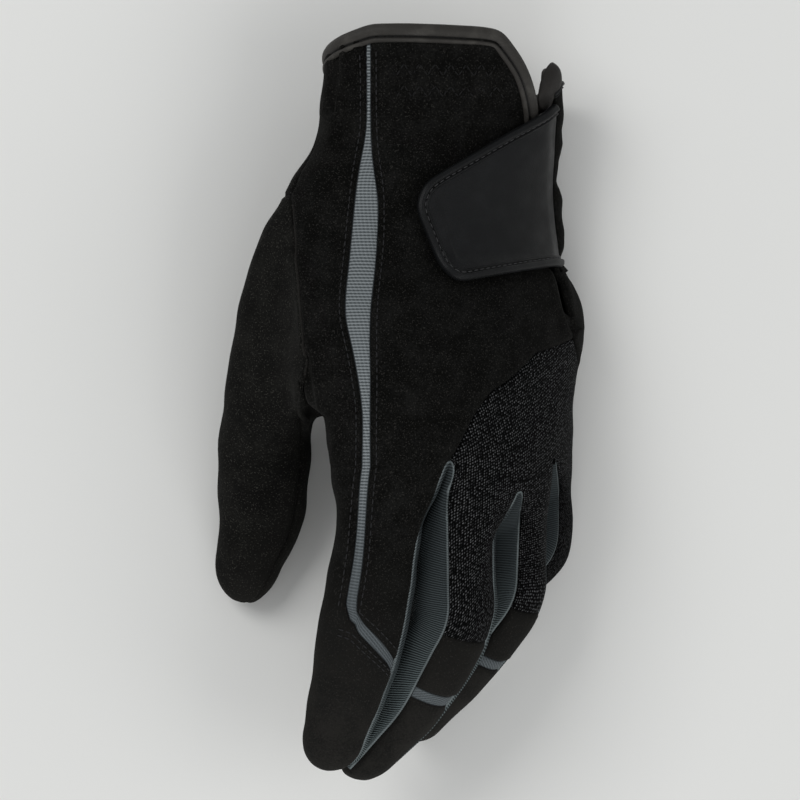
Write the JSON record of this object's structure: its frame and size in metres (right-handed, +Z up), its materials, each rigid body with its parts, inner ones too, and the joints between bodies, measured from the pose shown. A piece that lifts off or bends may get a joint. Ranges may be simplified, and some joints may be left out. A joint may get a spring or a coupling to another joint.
{
  "type": "golf glove",
  "caption": "Left-hand golf glove in suede and knit mesh, resting with relaxed fingers, with a slit wrist and a hook-and-loop closing tab.",
  "frame": {"origin": "middle of the glove seen from above, on the table it rests on", "axes": "+X towards the little finger side, +Y towards the cuff along the forearm, +Z up, away from the table and out of the back of the hand"},
  "size_m": [0.1108, 0.2258, 0.0718],
  "materials": {
    "suede": "matte brushed suede microfibre, black",
    "stretch_rib": "ribbed stretch cloth, mid grey",
    "gusset_rib": "fine ribbed stretch cloth, dark slate",
    "knit_mesh": "open knit mesh with shiny yarn, black",
    "binding_leather": "folded thin leather, dark grey",
    "tab_synthetic": "smooth satin synthetic leather, black",
    "hook_and_loop": "hook-and-loop tape, black",
    "elastic": "woven elastic, black"
  },
  "bodies": {
    "glove": {"palm_panel": "suede", "back_panel": "suede", "index_side_panel": "suede", "stretch_stripe": "stretch_rib", "knuckle_mesh": "knit_mesh", "index_middle_gusset": "gusset_rib", "middle_ring_gusset": "gusset_rib", "ring_little_gusset": "gusset_rib", "middle_finger_band": "suede", "middle_stretch_strip": "stretch_rib", "middle_fingertip": "suede", "ring_finger_band": "suede", "ring_stretch_strip": "stretch_rib", "ring_fingertip": "suede", "little_fingertip": "suede", "thumb_back_panel": "suede", "thumb_palm_panel": "suede", "cuff_binding": "binding_leather", "closure_strip": "suede", "wrist_elastic": "elastic", "loop_pad": "hook_and_loop"},
    "closure_tab": {"tab_panel": "tab_synthetic", "tab_binding": "tab_synthetic", "hook_pad": "hook_and_loop"}
  },
  "joints": [
    {"name": "tab_hinge", "type": "hinge", "parent": "glove", "child": "closure_tab", "pos_m": [0.04814, 0.06369, 0.02308], "axis": [-0.0365, 0.9944, 0.0995], "range_deg": [0, 150]}
  ]
}
